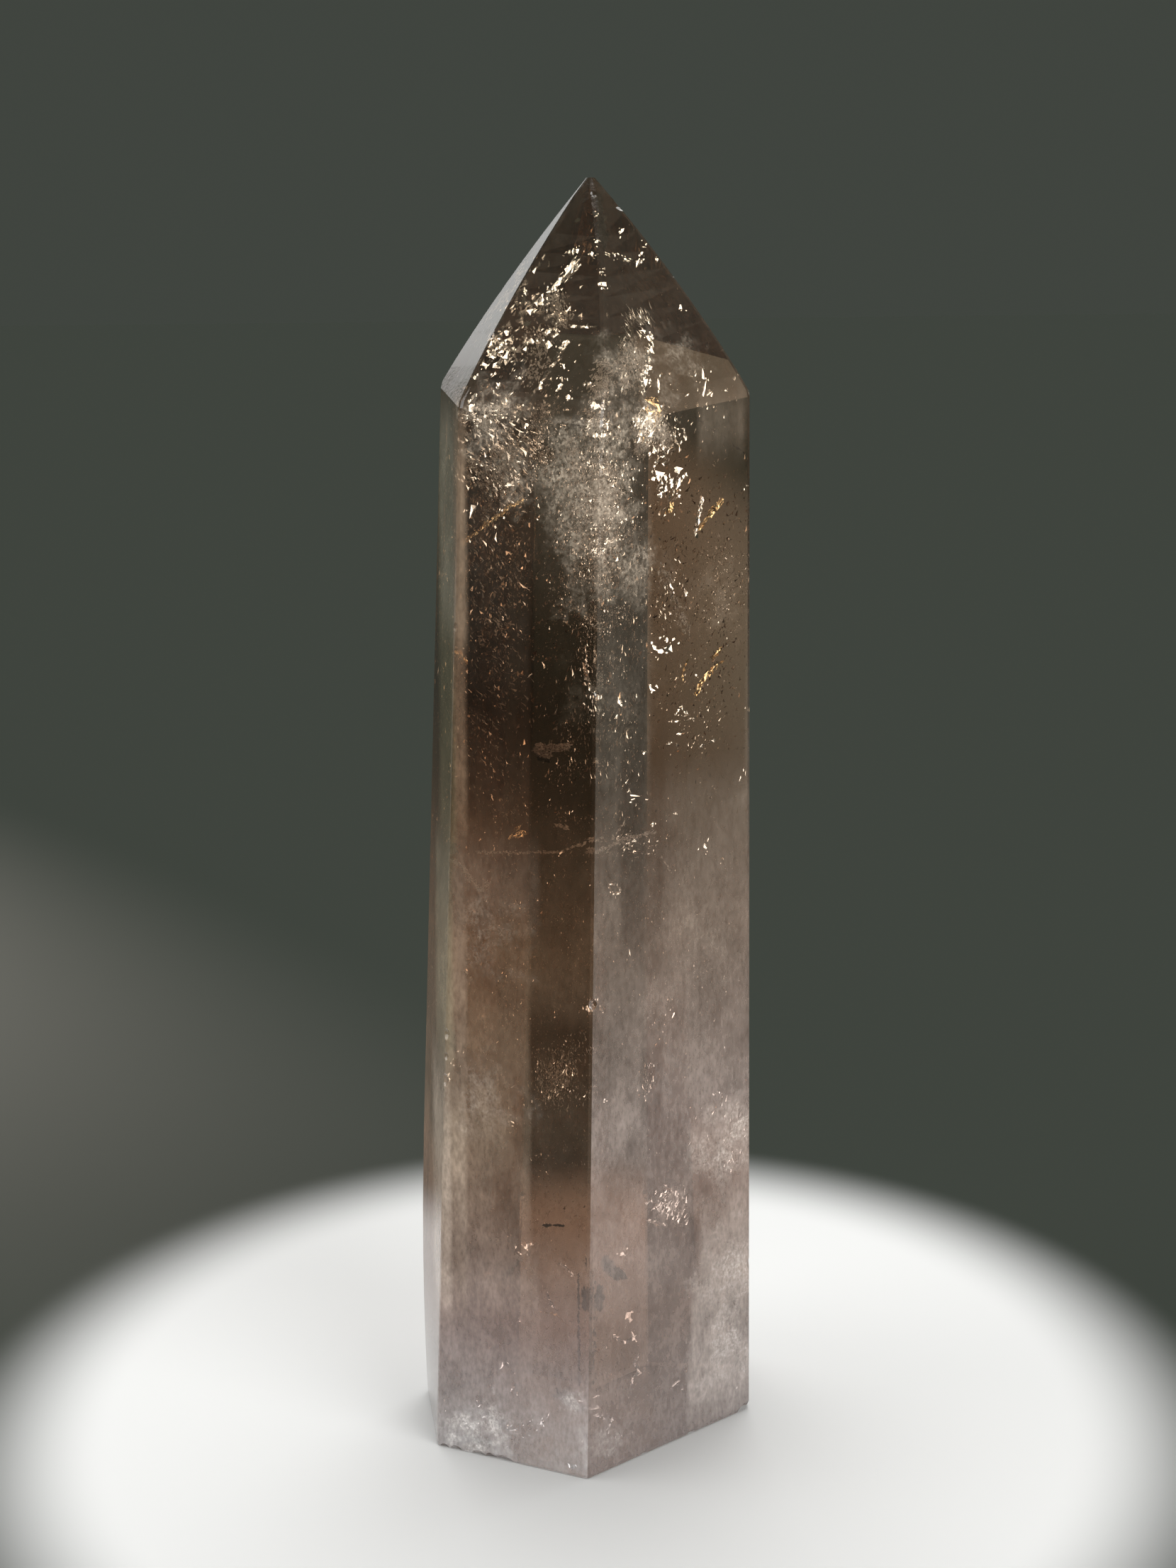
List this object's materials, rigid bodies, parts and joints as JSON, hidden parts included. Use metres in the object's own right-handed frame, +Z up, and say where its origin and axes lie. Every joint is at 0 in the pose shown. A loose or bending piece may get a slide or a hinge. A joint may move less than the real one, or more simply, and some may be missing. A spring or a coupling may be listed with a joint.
{
  "type": "smoky quartz tower",
  "caption": "Free-standing polished smoky quartz point: a slightly leaning, tapered six-sided column with a faceted tip and a flat base.",
  "frame": {"origin": "centre of the crystal's box, on the plane of its flat base", "axes": "+Z up along the crystal, from the base to the tip; the long front edge and the two wide faces beside it look towards -Y"},
  "size_m": [0.029, 0.0278, 0.1053],
  "materials": {
    "smoky_quartz": "polished, see-through smoky grey-brown, darker at the tip, with milky veils, fine haze and bright flakes inside"
  },
  "bodies": {
    "root": {"quartz_tower": "smoky_quartz"}
  },
  "joints": []
}
